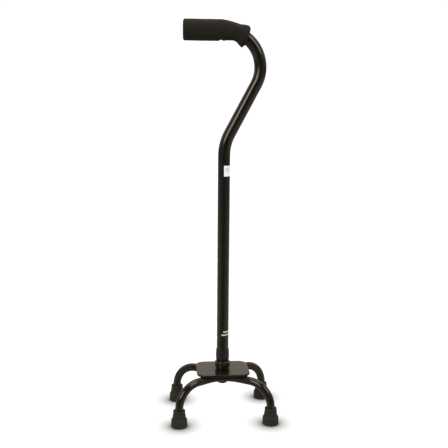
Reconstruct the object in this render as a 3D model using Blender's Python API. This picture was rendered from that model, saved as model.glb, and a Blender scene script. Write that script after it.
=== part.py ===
"""Quad walking cane: offset-handle stem, height-adjusting lower tube and four-legged base.

Metres, +Z up.  The origin is on the floor at the middle of the four feet, with the
grip reaching towards -X.  The stem stands at its lowest height setting.
"""

import math

import bmesh
import bpy
from mathutils import Matrix, Vector

# Gaps between pieces
SEAT_GAP = 0.0003          # between two pieces that rest on or press into each other
SLIDE_GAP = 0.00025        # lower tube inside the stem, each side

# Feet and legs
FOOT_SPACING_X = 0.170
FOOT_SPACING_Y = 0.126
LEG_OD = 0.0150
LEG_WALL = 0.0012
LEG_AXIS_HEIGHT = 0.0750
LEG_BEND_RADIUS = 0.043
LEG_BOW_RADIUS = 0.052
TIP_HEIGHT = 0.031
TIP_FLOOR = 0.0070
TIP_BASE_OD = 0.0302
TIP_BASE_TAPER = 0.0012    # how much narrower the base is at its step, each side
TIP_EDGE_RADIUS = 0.0018
TIP_STEP_HEIGHT = 0.0145
TIP_STEP_IN = 0.0009
TIP_RIM_OD = 0.0224
TIP_RIM_HEIGHT = 0.0024
TIP_RIM_CHAMFER = 0.0008
WASHER_THICKNESS = 0.0012
WASHER_HOLE_OD = 0.0050

# Base plate and its socket boss
PLATE_LENGTH = 0.100
PLATE_DEPTH = 0.079
PLATE_THICKNESS = 0.0042
PLATE_CORNER_RADIUS = 0.017
PLATE_EDGE_RADIUS = 0.0012
BOSS_WALL = 0.0043          # at the boss's rim, above a narrower foot
BOSS_HEIGHT = 0.0158
BOSS_RIM_HEIGHT = 0.0122
BOSS_RIM_OUT = 0.0014
BOSS_RIM_RADIUS = 0.0012
BOSS_EDGE_RADIUS = 0.0034

# Telescoping tubes and their snap lock
STEM_OD = 0.0222
STEM_WALL = 0.0012
LOWER_TUBE_WALL = 0.0012
LOWER_TUBE_DROP = 0.0190   # how far the lower tube passes below the plate
PLUG_HEAD_HEIGHT = 0.0042
PLUG_EDGE_RADIUS = 0.0026
PLUG_SHANK_LENGTH = 0.012
HOLE_PITCH = 0.0254
HOLE_COUNT = 9
LOWEST_HOLE_HEIGHT = 0.1473
STEM_HOLE_OD = 0.0065
BUTTON_OD = 0.0057
BUTTON_PROUD = 0.0008
BUTTON_DOME = 0.0014
BUTTON_FOOT_OD = 0.0080
BUTTON_FOOT_THICKNESS = 0.0008
LOWER_TUBE_ABOVE_BUTTON = 0.022
SPRING_THICKNESS = 0.0006
SPRING_WIDTH = 0.0060
SPRING_LENGTH = 0.040
SPRING_TURN_RADIUS = 0.0022

# Lock collar and its bush at the foot of the stem
BUSH_NECK_WALL = 0.0005
BUSH_NECK_HEIGHT = 0.0016
BUSH_FLANGE_THICKNESS = 0.0015
COLLAR_WALL = 0.0016       # collar beyond the stem, at its widest and at its ends
COLLAR_END_WALL = 0.0007
COLLAR_LIP = 0.0016
COLLAR_LOWER_TAPER = 0.0034
COLLAR_UPPER_TAPER = 0.0080
COLLAR_HEIGHT = 0.0220
COLLAR_FLUTES = 12
COLLAR_FLUTE_DEPTH = 0.00035

# Swan neck and grip
GRIP_AXIS_HEIGHT = 0.7175
HOOK_RADIUS = 0.0645
SLANT_ANGLE = math.radians(28)
LOWER_BEND_RADIUS = 0.085
GRIP_REACH = 0.075         # stem axis to the grip's free end
GRIP_WALL = 0.0079         # foam beyond the stem, on the straight run
GRIP_END_WALL = 0.0060
GRIP_END_RADIUS = 0.0030
END_PLUG_HEAD = 0.0020
END_PLUG_CHAMFER = 0.0006
END_PLUG_LENGTH = 0.012
# The sleeve over the bend, ring by ring: degrees along the hook, how far the ring's middle
# hangs below the tube's axis, how much wider than the grip it is, and its tilt in degrees
GRIP_BEND_RINGS = (
    (1.3, -0.0001, -0.0010, -1.5),
    (8.5, 0.0001, -0.0020, 1.5),
    (15.0, -0.0003, -0.0030, 5.0),
    (20.0, 0.0002, -0.0025, 5.0),
    (23.9, 0.0024, -0.0001, 1.0),
    (32.2, 0.0001, 0.0013, 12.2),
    (36.5, -0.0026, -0.0003, 16.4),
    (38.4, -0.0031, -0.0026, 18.9),
)

# Label
LABEL_BOTTOM = 0.4570
LABEL_HEIGHT = 0.0195
LABEL_START = math.radians(-95)
LABEL_SWEEP = math.radians(140)
LABEL_THICKNESS = 0.0002
LABEL_GAP = 0.00015

# Facets
TUBE_SIDES = 28
LEG_SIDES = 16
TURNED_SIDES = 28
BEND_STEP = math.radians(8.5)

# Worked out from the sizes above
GRIP_OD = STEM_OD + 2 * GRIP_WALL
COLLAR_OD = STEM_OD + 2 * COLLAR_WALL
COLLAR_END_OD = STEM_OD + 2 * COLLAR_END_WALL
LEG_END_HEIGHT = TIP_FLOOR + WASHER_THICKNESS + 2 * SEAT_GAP
PLATE_BOTTOM = LEG_AXIS_HEIGHT + LEG_OD / 2 + SEAT_GAP
PLATE_TOP = PLATE_BOTTOM + PLATE_THICKNESS
BOSS_BOTTOM = PLATE_TOP + SEAT_GAP
BOSS_TOP = BOSS_BOTTOM + BOSS_HEIGHT
STEM_BORE = STEM_OD - 2 * STEM_WALL
LOWER_TUBE_OD = STEM_BORE - 2 * SLIDE_GAP
LOWER_TUBE_BORE = LOWER_TUBE_OD - 2 * LOWER_TUBE_WALL
LOWER_TUBE_BOTTOM = PLATE_BOTTOM - LOWER_TUBE_DROP
SOCKET_BORE = LOWER_TUBE_OD + 2 * SEAT_GAP
BOSS_OD = SOCKET_BORE + 2 * BOSS_WALL
BUTTON_HEIGHT = LOWEST_HOLE_HEIGHT + (HOLE_COUNT - 1) * HOLE_PITCH
LOWER_TUBE_TOP = BUTTON_HEIGHT + LOWER_TUBE_ABOVE_BUTTON
BUSH_BOTTOM = BOSS_TOP + SEAT_GAP
BUSH_BORE = LOWER_TUBE_OD + 2 * SLIDE_GAP
BUSH_NECK_OD = BUSH_BORE + 2 * BUSH_NECK_WALL
COLLAR_BOTTOM = BUSH_BOTTOM + BUSH_NECK_HEIGHT
BUSH_FLANGE_BOTTOM = COLLAR_BOTTOM + COLLAR_LIP + SEAT_GAP
BUSH_TOP = BUSH_FLANGE_BOTTOM + BUSH_FLANGE_THICKNESS
STEM_BOTTOM = BUSH_TOP + SEAT_GAP
COLLAR_BORE = STEM_OD + 2 * SEAT_GAP
COLLAR_LIP_BORE = BUSH_NECK_OD + 2 * SEAT_GAP
LEG_CENTRE_OFFSET = LOWER_TUBE_OD / 2 + SEAT_GAP + LEG_OD / 2


# ---------------------------------------------------------------- materials

def principled(name, colour, roughness, metallic):
    material = bpy.data.materials.new(name)
    material.use_nodes = True
    shader = material.node_tree.nodes["Principled BSDF"]
    shader.inputs["Base Color"].default_value = (*colour, 1.0)
    shader.inputs["Roughness"].default_value = roughness
    shader.inputs["Metallic"].default_value = metallic
    material.diffuse_color = (*colour, 1.0)
    return material


def black_paint(name):
    return principled(name, (0.012, 0.011, 0.010), 0.25, 0.0)


def black_plastic(name):
    return principled(name, (0.020, 0.020, 0.018), 0.45, 0.0)


def rubber(name):
    return principled(name, (0.035, 0.034, 0.030), 0.75, 0.0)


def foam(name):
    return principled(name, (0.022, 0.021, 0.018), 0.95, 0.0)


def steel(name):
    return principled(name, (0.55, 0.55, 0.54), 0.30, 1.0)


def paper(name):
    return principled(name, (0.85, 0.86, 0.88), 0.40, 0.0)


# ---------------------------------------------------------------- building tools

def clear_scene():
    for item in list(bpy.data.objects):
        bpy.data.objects.remove(item, do_unlink=True)


def axis_empty(name, place, parent=None):
    """An empty on a joint's axis, which the joint's moving pieces hang from."""
    empty = bpy.data.objects.new(name, None)
    empty.empty_display_size = 0.02
    empty.location = place
    if parent:
        empty.parent = parent
        empty.location = Vector(place) - world_place(parent)
    bpy.context.scene.collection.objects.link(empty)
    return empty


def world_place(item):
    place = Vector(item.location)
    while item.parent:
        item = item.parent
        place += Vector(item.location)
    return place


def add_object(name, mesh, material, place=(0, 0, 0), parent=None, turn=0.0):
    """Link a mesh as a named object at a world place, turned about Z."""
    item = bpy.data.objects.new(name, mesh)
    if not mesh.materials:
        mesh.materials.append(material)
    item.location = place
    item.rotation_euler = (0, 0, turn)
    if parent:
        item.parent = parent
        item.location = Vector(place) - world_place(parent)
    bpy.context.scene.collection.objects.link(item)
    return item


def finish_mesh(bm, name, sharp_angle=math.radians(35)):
    bmesh.ops.recalc_face_normals(bm, faces=bm.faces)
    mesh = bpy.data.meshes.new(name)
    bm.to_mesh(mesh)
    bm.free()
    mesh.shade_smooth()
    mesh.set_sharp_from_angle(angle=sharp_angle)
    return mesh


def turned_mesh(name, profile, sides=TURNED_SIDES, ring=False):
    """Spin a (radius, height) profile about Z; a ring's profile closes on itself."""
    bm = bmesh.new()
    verts = [bm.verts.new((radius, 0, height)) for radius, height in profile]
    edges = [bm.edges.new(pair) for pair in zip(verts, verts[1:])]
    if ring:
        edges.append(bm.edges.new((verts[-1], verts[0])))
    bmesh.ops.spin(bm, geom=verts + edges, cent=(0, 0, 0), axis=(0, 0, 1),
                   angle=2 * math.pi, steps=sides)
    bmesh.ops.remove_doubles(bm, verts=bm.verts, dist=1e-6)
    return finish_mesh(bm, name)


def fillet(centre_radius, centre_height, radius, start, end, steps=3):
    """Profile points on an arc, by angle from straight out."""
    angles = [start + (end - start) * i / steps for i in range(steps + 1)]
    return [(centre_radius + radius * math.cos(a), centre_height + radius * math.sin(a))
            for a in angles]


class TubeBend:
    """Forms a round tube or rod the way a bender does: straight runs and arcs in turn."""

    def __init__(self, start, heading, outer, bore, sides):
        self.bm = bmesh.new()
        self.place = Vector(start)
        self.heading = Vector(heading).normalized()
        side = Vector((0, 1, 0)) if abs(self.heading.y) < 0.9 else Vector((1, 0, 0))
        across = self.heading.cross(side).normalized()
        frame = Matrix((across, self.heading.cross(across), self.heading)).transposed().to_4x4()
        frame.translation = self.place
        rim = bmesh.ops.create_circle(self.bm, segments=sides, radius=outer / 2,
                                      matrix=frame)["verts"]
        if bore:
            inner = bmesh.ops.create_circle(self.bm, segments=sides, radius=bore / 2,
                                            matrix=frame)["verts"]
            self.front = [self.bm.faces.new((rim[i - 1], rim[i], inner[i], inner[i - 1]))
                          for i in range(sides)]
        else:
            self.front = [self.bm.faces.new(rim)]
        self.at_start = True

    def move_front(self, grown):
        """Take the new end faces; the last end's faces would be a wall inside the tube."""
        if not self.at_start:
            inside = [face for face in self.front if face.is_valid]
            bmesh.ops.delete(self.bm, geom=inside, context="FACES")
        self.at_start = False
        self.front = [part for part in grown if isinstance(part, bmesh.types.BMFace)]

    def straight(self, length):
        grown = bmesh.ops.extrude_face_region(self.bm, geom=self.front)["geom"]
        verts = [part for part in grown if isinstance(part, bmesh.types.BMVert)]
        bmesh.ops.translate(self.bm, verts=verts, vec=self.heading * length)
        self.place = self.place + self.heading * length
        self.move_front(grown)

    def bend(self, radius, towards, angle):
        """Turn the heading by an angle towards a direction square to it."""
        towards = Vector(towards).normalized()
        centre = self.place + towards * radius
        axis = self.heading.cross(towards)
        steps = max(2, math.ceil(angle / BEND_STEP))
        grown = bmesh.ops.spin(self.bm, geom=self.front, cent=centre, axis=axis,
                               angle=angle, steps=steps)["geom_last"]
        self.move_front(grown)
        turn = Matrix.Rotation(angle, 3, axis)
        self.place = centre + turn @ (self.place - centre)
        self.heading = turn @ self.heading

    def mesh(self, name):
        bmesh.ops.remove_doubles(self.bm, verts=self.bm.verts, dist=1e-7)
        return finish_mesh(self.bm, name)


def cylinder_cutter(name, diameter, length, place, heading, sides=16):
    """A rod centred on a place, left out of the build, for cutting holes."""
    heading = Vector(heading).normalized()
    rod = TubeBend(Vector(place) - heading * length / 2, heading, diameter, 0, sides)
    rod.straight(length)
    cutter = bpy.data.objects.new(name, rod.mesh(name))
    cutter.hide_render = True
    cutter.display_type = "WIRE"
    bpy.context.scene.collection.objects.link(cutter)
    return cutter


def cut(item, cutter):
    modifier = item.modifiers.new(f"cut by {cutter.name}", "BOOLEAN")
    modifier.operation = "DIFFERENCE"
    modifier.solver = "EXACT"
    modifier.object = cutter


# ---------------------------------------------------------------- base

def foot_places():
    for side_name, x in (("left", -FOOT_SPACING_X / 2), ("right", FOOT_SPACING_X / 2)):
        for end_name, y in (("front", -FOOT_SPACING_Y / 2), ("rear", FOOT_SPACING_Y / 2)):
            yield f"{end_name}_{side_name}", Vector((x, y, 0))


def tip_profile():
    """Rubber ferrule: flat foot, wide base, step, tapering sleeve with a rim, blind bore."""
    base = TIP_BASE_OD / 2
    step = base - TIP_BASE_TAPER
    rim = TIP_RIM_OD / 2
    rim_bottom = TIP_HEIGHT - TIP_RIM_HEIGHT
    bore = LEG_OD / 2 + SEAT_GAP
    edge = TIP_EDGE_RADIUS
    points = [(0, 0), (base - edge, 0)]
    points += fillet(base - edge, edge, edge, -math.pi / 4, 0, 2)
    points += [(step, TIP_STEP_HEIGHT), (step - TIP_STEP_IN, TIP_STEP_HEIGHT + TIP_STEP_IN)]
    points += [(rim - TIP_RIM_CHAMFER / 4, rim_bottom - TIP_RIM_CHAMFER / 2), (rim, rim_bottom)]
    points += [(rim, TIP_HEIGHT - TIP_RIM_CHAMFER), (rim - TIP_RIM_CHAMFER, TIP_HEIGHT)]
    points += [(bore, TIP_HEIGHT), (bore, TIP_FLOOR), (0, TIP_FLOOR)]
    return points


def washer_profile():
    hole = WASHER_HOLE_OD / 2
    rim = LEG_OD / 2
    return [(hole, 0), (rim, 0), (rim, WASHER_THICKNESS), (hole, WASHER_THICKNESS)]


def feet():
    tip_mesh = turned_mesh("rubber_tip", tip_profile(), sides=24)
    washer_mesh = turned_mesh("tip_washer", washer_profile(), sides=16, ring=True)
    tip_material = rubber("tip rubber")
    washer_material = steel("washer steel")
    for corner, place in foot_places():
        add_object(f"rubber_tip_{corner}", tip_mesh, tip_material, place)
        seat = place + Vector((0, 0, TIP_FLOOR + SEAT_GAP))
        add_object(f"tip_washer_{corner}", washer_mesh, washer_material, seat)


def leg_mesh():
    """One leg pair: foot, down bend, straight, bow past the stem, and the same mirrored."""
    reach = FOOT_SPACING_X / 2
    inset = LEG_BOW_RADIUS - (FOOT_SPACING_Y / 2 - LEG_CENTRE_OFFSET)
    splay = math.atan2(reach, inset) - math.acos(LEG_BOW_RADIUS / math.hypot(reach, inset))
    run = (reach - LEG_BOW_RADIUS * math.sin(splay)) / math.cos(splay) - LEG_BEND_RADIUS
    drop = LEG_AXIS_HEIGHT - LEG_BEND_RADIUS - LEG_END_HEIGHT
    inward = Vector((math.cos(splay), math.sin(splay), 0))
    start = (-reach, -FOOT_SPACING_Y / 2, LEG_END_HEIGHT)
    tube = TubeBend(start, (0, 0, 1), LEG_OD, LEG_OD - 2 * LEG_WALL, LEG_SIDES)
    tube.straight(drop)
    tube.bend(LEG_BEND_RADIUS, inward, math.pi / 2)
    tube.straight(run)
    tube.bend(LEG_BOW_RADIUS, (math.sin(splay), -math.cos(splay), 0), 2 * splay)
    tube.straight(run)
    tube.bend(LEG_BEND_RADIUS, (0, 0, -1), math.pi / 2)
    tube.straight(drop)
    return tube.mesh("leg_tube")


def legs():
    mesh = leg_mesh()
    material = black_paint("leg paint")
    add_object("front_leg_tube", mesh, material)
    add_object("rear_leg_tube", mesh, material, turn=math.pi)


def base_plate():
    bm = bmesh.new()
    size = Matrix.Diagonal((PLATE_LENGTH, PLATE_DEPTH, PLATE_THICKNESS, 1))
    bmesh.ops.create_cube(bm, size=1.0, matrix=size)
    upright = [e for e in bm.edges if abs(e.verts[0].co.z - e.verts[1].co.z) > PLATE_THICKNESS / 2]
    bmesh.ops.bevel(bm, geom=upright, offset=PLATE_CORNER_RADIUS, segments=7, profile=0.5,
                    affect="EDGES")
    flat = [e for e in bm.edges if abs(e.verts[0].co.z - e.verts[1].co.z) < PLATE_THICKNESS / 2]
    bmesh.ops.bevel(bm, geom=flat, offset=PLATE_EDGE_RADIUS, segments=2, profile=0.5,
                    affect="EDGES")
    middle = (0, 0, PLATE_BOTTOM + PLATE_THICKNESS / 2)
    plate = add_object("base_plate", finish_mesh(bm, "base_plate"), black_paint("plate paint"),
                       middle)
    cut(plate, cylinder_cutter("plate_bore", SOCKET_BORE, 4 * PLATE_THICKNESS, middle,
                               (0, 0, 1), TURNED_SIDES))


def socket_boss():
    outer = BOSS_OD / 2
    bore = SOCKET_BORE / 2
    edge = BOSS_EDGE_RADIUS
    foot = outer - BOSS_RIM_OUT
    step = BOSS_HEIGHT - BOSS_RIM_HEIGHT
    under = BOSS_RIM_RADIUS
    profile = [(bore, 0), (foot, 0), (foot, step)]
    profile += fillet(outer - under, step + under, under, -math.pi / 2, 0)
    profile += fillet(outer - edge, BOSS_HEIGHT - edge, edge, 0, math.pi / 2, 4)
    profile += [(bore, BOSS_HEIGHT)]
    mesh = turned_mesh("socket_boss", profile, ring=True)
    add_object("socket_boss", mesh, black_paint("boss paint"), (0, 0, BOSS_BOTTOM))


def lower_tube():
    tube = TubeBend((0, 0, 0), (0, 0, 1), LOWER_TUBE_OD, LOWER_TUBE_BORE, TUBE_SIDES)
    tube.straight(LOWER_TUBE_TOP - LOWER_TUBE_BOTTOM)
    item = add_object("lower_tube", tube.mesh("lower_tube"), black_paint("lower tube paint"),
                      (0, 0, LOWER_TUBE_BOTTOM))
    hole = BUTTON_OD + 2 * SEAT_GAP
    place = (-LOWER_TUBE_OD / 2, 0, BUTTON_HEIGHT)
    cut(item, cylinder_cutter("button_hole", hole, LOWER_TUBE_OD / 2, place, (-1, 0, 0)))


def lower_tube_plug():
    head = LOWER_TUBE_OD / 2
    shank = LOWER_TUBE_BORE / 2 - SEAT_GAP
    height = PLUG_HEAD_HEIGHT
    edge = PLUG_EDGE_RADIUS
    top = height + PLUG_SHANK_LENGTH
    profile = [(0, 0), (head - edge, 0)]
    profile += fillet(head - edge, edge, edge, -math.pi / 3, 0, 3)
    profile += [(head, height), (shank, height), (shank, top), (0, top)]
    mesh = turned_mesh("lower_tube_plug", profile)
    place = (0, 0, LOWER_TUBE_BOTTOM - SEAT_GAP - height)
    add_object("lower_tube_plug", mesh, black_plastic("plug plastic"), place)


# ---------------------------------------------------------------- snap lock

def snap_button(axis):
    """Domed button on a wider foot that stops it leaving the lower tube; built along +Z."""
    radius = BUTTON_OD / 2
    foot = BUTTON_FOOT_OD / 2
    seat = math.sqrt((LOWER_TUBE_BORE / 2) ** 2 - foot ** 2) - SEAT_GAP
    length = STEM_OD / 2 + BUTTON_PROUD - seat + BUTTON_FOOT_THICKNESS
    shoulder = length - BUTTON_DOME
    profile = [(0, 0), (foot, 0), (foot, BUTTON_FOOT_THICKNESS), (radius, BUTTON_FOOT_THICKNESS)]
    profile += [(radius * math.cos(a), shoulder + BUTTON_DOME * math.sin(a))
                for a in (math.radians(turn) for turn in (0, 30, 60, 90))]
    mesh = turned_mesh("snap_button", profile, sides=16)
    mesh.transform(Matrix.Rotation(-math.pi / 2, 4, "Y"))
    place = (-(seat - BUTTON_FOOT_THICKNESS), 0, BUTTON_HEIGHT)
    add_object("snap_button", mesh, steel("button steel"), place, axis)


def snap_spring():
    """Bent leaf: one arm behind the button, a round turn below, the other arm on the bore."""
    foot = BUTTON_FOOT_OD / 2
    seat = math.sqrt((LOWER_TUBE_BORE / 2) ** 2 - foot ** 2) - SEAT_GAP
    half = SPRING_THICKNESS / 2
    front = -(seat - BUTTON_FOOT_THICKNESS - SEAT_GAP - half)
    back = math.sqrt((LOWER_TUBE_BORE / 2) ** 2 - (SPRING_WIDTH / 2) ** 2) - SEAT_GAP - half
    turn = SPRING_TURN_RADIUS
    top = BUTTON_FOOT_OD / 2
    low = -SPRING_LENGTH + turn
    outline = [(front, top), (front, -top), (-turn, low)]
    outline += [(-turn * math.cos(a), low - turn * math.sin(a))
                for a in (math.pi * i / 8 for i in range(1, 8))]
    outline += [(turn, low), (back, -top), (back, top)]
    bm = bmesh.new()
    verts = [bm.verts.new((x, -SPRING_WIDTH / 2, z)) for x, z in outline]
    edges = [bm.edges.new(pair) for pair in zip(verts, verts[1:])]
    grown = bmesh.ops.extrude_edge_only(bm, edges=edges)["geom"]
    far = [part for part in grown if isinstance(part, bmesh.types.BMVert)]
    bmesh.ops.translate(bm, verts=far, vec=(0, SPRING_WIDTH, 0))
    item = add_object("snap_spring", finish_mesh(bm, "snap_spring"), steel("spring steel"),
                      (0, 0, BUTTON_HEIGHT))
    leaf = item.modifiers.new("leaf thickness", "SOLIDIFY")
    leaf.thickness = SPRING_THICKNESS
    leaf.offset = 0
    leaf.use_even_offset = True


# ---------------------------------------------------------------- stem

def start_stem(outer, bore):
    """The stem's route from its lower end to just past the top bend."""
    lift = HOOK_RADIUS * math.sin(SLANT_ANGLE)
    slant_top = GRIP_AXIS_HEIGHT - HOOK_RADIUS - lift
    hook_out = HOOK_RADIUS * math.cos(SLANT_ANGLE)
    bend_out = LOWER_BEND_RADIUS * (1 - math.cos(SLANT_ANGLE))
    slant = (hook_out - bend_out) / math.sin(SLANT_ANGLE)
    upright = (slant_top - slant * math.cos(SLANT_ANGLE)
               - LOWER_BEND_RADIUS * math.sin(SLANT_ANGLE) - STEM_BOTTOM)
    tube = TubeBend((0, 0, STEM_BOTTOM), (0, 0, 1), outer, bore, TUBE_SIDES)
    tube.straight(upright)
    tube.bend(LOWER_BEND_RADIUS, (1, 0, 0), SLANT_ANGLE)
    tube.straight(slant)
    lean = (-math.cos(SLANT_ANGLE), 0, math.sin(SLANT_ANGLE))
    tube.bend(HOOK_RADIUS, lean, math.pi / 2 + SLANT_ANGLE)
    return tube


def handle_tube(axis):
    tube = start_stem(STEM_OD, STEM_BORE)
    tube.straight(GRIP_REACH - GRIP_END_WALL - END_PLUG_HEAD - 2 * SEAT_GAP)
    mesh = tube.mesh("handle_tube")
    mesh.transform(Matrix.Translation((0, 0, -STEM_BOTTOM)))
    item = add_object("handle_tube", mesh, black_paint("stem paint"), (0, 0, STEM_BOTTOM), axis)
    for number in range(HOLE_COUNT):
        height = LOWEST_HOLE_HEIGHT + number * HOLE_PITCH
        place = (-STEM_OD / 2, 0, height)
        cut(item, cylinder_cutter(f"height_hole_{number + 1}", STEM_HOLE_OD, STEM_OD / 2, place,
                                  (-1, 0, 0)))


def handle_end_plug(axis):
    """Cap in the stem's free end, so that the tube can't cut through the grip; built along +Z."""
    head = STEM_OD / 2
    shank = STEM_BORE / 2 - SEAT_GAP
    profile = [(0, 0), (head - END_PLUG_CHAMFER, 0), (head, END_PLUG_CHAMFER)]
    profile += [(head, END_PLUG_HEAD), (shank, END_PLUG_HEAD), (shank, END_PLUG_LENGTH)]
    profile += [(0, END_PLUG_LENGTH)]
    mesh = turned_mesh("handle_end_plug", profile)
    mesh.transform(Matrix.Rotation(math.pi / 2, 4, "Y"))
    place = (-GRIP_REACH + GRIP_END_WALL + SEAT_GAP, 0, GRIP_AXIS_HEIGHT)
    add_object("handle_end_plug", mesh, black_plastic("end plug plastic"), place, axis)


def collar_bush(axis):
    bore = BUSH_BORE / 2
    neck = BUSH_NECK_OD / 2
    flange = STEM_OD / 2
    step = BUSH_FLANGE_BOTTOM - BUSH_BOTTOM
    top = BUSH_TOP - BUSH_BOTTOM
    profile = [(bore, 0), (neck, 0), (neck, step), (flange, step), (flange, top), (bore, top)]
    mesh = turned_mesh("collar_bush", profile, ring=True)
    add_object("collar_bush", mesh, black_plastic("bush plastic"), (0, 0, BUSH_BOTTOM), axis)


def lock_collar(axis):
    lip = COLLAR_LIP_BORE / 2
    bore = COLLAR_BORE / 2
    end = COLLAR_END_OD / 2
    wide = COLLAR_OD / 2
    shoulder = COLLAR_HEIGHT - COLLAR_UPPER_TAPER
    profile = [(lip, 0), (end, 0), (wide, COLLAR_LOWER_TAPER), (wide, shoulder)]
    profile += [(end, COLLAR_HEIGHT), (bore, COLLAR_HEIGHT), (bore, COLLAR_LIP), (lip, COLLAR_LIP)]
    mesh = turned_mesh("lock_collar", profile, sides=4 * COLLAR_FLUTES, ring=True)
    for vert in mesh.vertices:
        turn = math.atan2(vert.co.y, vert.co.x) / (2 * math.pi) * COLLAR_FLUTES
        radius = math.hypot(vert.co.x, vert.co.y)
        if abs(turn - round(turn)) < 0.1 and radius > wide - COLLAR_FLUTE_DEPTH:
            vert.co.xy *= 1 - COLLAR_FLUTE_DEPTH / radius
    add_object("lock_collar", mesh, black_plastic("collar plastic"), (0, 0, COLLAR_BOTTOM), axis)


def grip_sections():
    """Middle of each ring (x, height above the grip's axis), its half height and its tilt."""
    radius = GRIP_OD / 2
    for turn in (0, math.pi / 4, math.pi / 2):
        x = -GRIP_REACH + GRIP_END_RADIUS * (1 - math.cos(turn))
        yield x, 0, radius - GRIP_END_RADIUS * (1 - math.sin(turn)), 0
    yield -radius / 2, 0, radius, 0
    for along, drop, wider, tilt in GRIP_BEND_RINGS:
        turn = math.radians(along)
        height = HOOK_RADIUS * (math.cos(turn) - 1) - drop
        yield HOOK_RADIUS * math.sin(turn), height, radius + wider, math.radians(tilt)


def foam_grip(axis):
    """A lofted sleeve over the bend, bored along the stem's own route."""
    sides = 24
    bm = bmesh.new()
    rings = []
    for x, height, half, tilt in grip_sections():
        centre = Vector((x, 0, height))
        rise = half * Vector((math.sin(tilt), 0, math.cos(tilt)))
        width = Vector((0, min(half, GRIP_OD / 2), 0))
        angles = [2 * math.pi * i / sides for i in range(sides)]
        verts = [bm.verts.new(centre + rise * math.cos(a) + width * math.sin(a)) for a in angles]
        rings.append([bm.edges.new((verts[i - 1], verts[i])) for i in range(sides)])
    bm.faces.new([edge.verts[0] for edge in rings[0]])
    for near, far in zip(rings, rings[1:]):
        bmesh.ops.bridge_loops(bm, edges=near + far)
    bm.faces.new([edge.verts[0] for edge in rings[-1]])
    mesh = finish_mesh(bm, "foam_grip")
    place = (0, 0, GRIP_AXIS_HEIGHT)
    item = add_object("foam_grip", mesh, foam("grip foam"), place, axis)
    rod = start_stem(STEM_OD + 2 * SEAT_GAP, 0)
    rod.straight(GRIP_REACH - GRIP_END_WALL)
    bore = bpy.data.objects.new("grip_bore", rod.mesh("grip_bore"))
    bore.hide_render = True
    bore.display_type = "WIRE"
    bpy.context.scene.collection.objects.link(bore)
    cut(item, bore)


def label(axis):
    """Thin sticker wrapped part of the way round the stem."""
    near = STEM_OD / 2 + LABEL_GAP
    far = near + LABEL_THICKNESS
    steps = 20
    bm = bmesh.new()
    corners = []
    for radius, height in ((near, 0), (far, 0), (far, LABEL_HEIGHT), (near, LABEL_HEIGHT)):
        spot = Vector((radius * math.cos(LABEL_START), radius * math.sin(LABEL_START), height))
        corners.append(bm.verts.new(spot))
    edge_face = bm.faces.new(corners)
    bmesh.ops.spin(bm, geom=[edge_face], cent=(0, 0, 0), axis=(0, 0, 1), angle=LABEL_SWEEP,
                   steps=steps)
    add_object("label", finish_mesh(bm, "label"), paper("label paper"), (0, 0, LABEL_BOTTOM), axis)


# ---------------------------------------------------------------- assembly

def build():
    clear_scene()
    feet()
    legs()
    base_plate()
    socket_boss()
    lower_tube()
    lower_tube_plug()
    snap_spring()
    button_axis = axis_empty("button_travel", (0, 0, BUTTON_HEIGHT))
    snap_button(button_axis)
    stem_axis = axis_empty("height_travel", (0, 0, STEM_BOTTOM))
    handle_tube(stem_axis)
    handle_end_plug(stem_axis)
    collar_bush(stem_axis)
    foam_grip(stem_axis)
    label(stem_axis)
    collar_axis = axis_empty("collar_turn", (0, 0, COLLAR_BOTTOM), stem_axis)
    lock_collar(collar_axis)


build()
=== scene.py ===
import math

import bmesh
import bpy
import numpy as np
from mathutils import Matrix, Vector


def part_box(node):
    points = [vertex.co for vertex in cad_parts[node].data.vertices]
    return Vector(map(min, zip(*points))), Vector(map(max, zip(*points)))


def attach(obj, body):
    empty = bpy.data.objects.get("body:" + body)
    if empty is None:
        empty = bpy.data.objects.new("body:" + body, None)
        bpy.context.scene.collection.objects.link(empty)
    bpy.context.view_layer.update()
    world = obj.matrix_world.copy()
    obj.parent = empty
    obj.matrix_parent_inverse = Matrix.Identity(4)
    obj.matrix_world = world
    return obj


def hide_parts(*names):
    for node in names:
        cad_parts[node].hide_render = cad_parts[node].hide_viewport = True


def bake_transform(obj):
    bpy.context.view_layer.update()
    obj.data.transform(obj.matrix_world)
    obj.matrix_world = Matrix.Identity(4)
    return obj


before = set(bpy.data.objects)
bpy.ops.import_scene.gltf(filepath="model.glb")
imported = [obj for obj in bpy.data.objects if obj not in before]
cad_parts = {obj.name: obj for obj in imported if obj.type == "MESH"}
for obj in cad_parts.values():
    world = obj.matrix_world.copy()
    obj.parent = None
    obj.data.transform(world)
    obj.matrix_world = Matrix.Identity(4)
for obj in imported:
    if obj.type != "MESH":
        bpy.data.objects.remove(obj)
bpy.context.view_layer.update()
scene = bpy.context.scene


def low(node):
    return np.array(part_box(node)[0])


def high(node):
    return np.array(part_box(node)[1])


# ---- camera, floor and light come first

camera = {
    "place": (-0.12623, -1.35254, 0.59207),
    "forward": (0.09229, 0.98227, -0.16319),
    "rollDegrees": 0.473,
    "lens": 59.51,
    "sensor": 36.0,
}


def setCamera():
    data = bpy.data.cameras.new("camera")
    data.lens, data.sensor_width, data.sensor_fit = camera["lens"], camera["sensor"], "AUTO"
    data.clip_start, data.clip_end = 0.01, 100.0
    ahead = Vector(camera["forward"]).normalized()
    right = ahead.cross(Vector((0, 0, 1))).normalized()
    up = right.cross(ahead)
    roll = math.radians(camera["rollDegrees"])
    rolledRight = right * math.cos(roll) + up * math.sin(roll)
    rolledUp = up * math.cos(roll) - right * math.sin(roll)
    turn = Matrix((rolledRight, rolledUp, -ahead)).transposed()
    item = bpy.data.objects.new("camera", data)
    item.matrix_world = Matrix.Translation(camera["place"]) @ turn.to_4x4()
    scene.collection.objects.link(item)
    scene.camera = item


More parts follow.
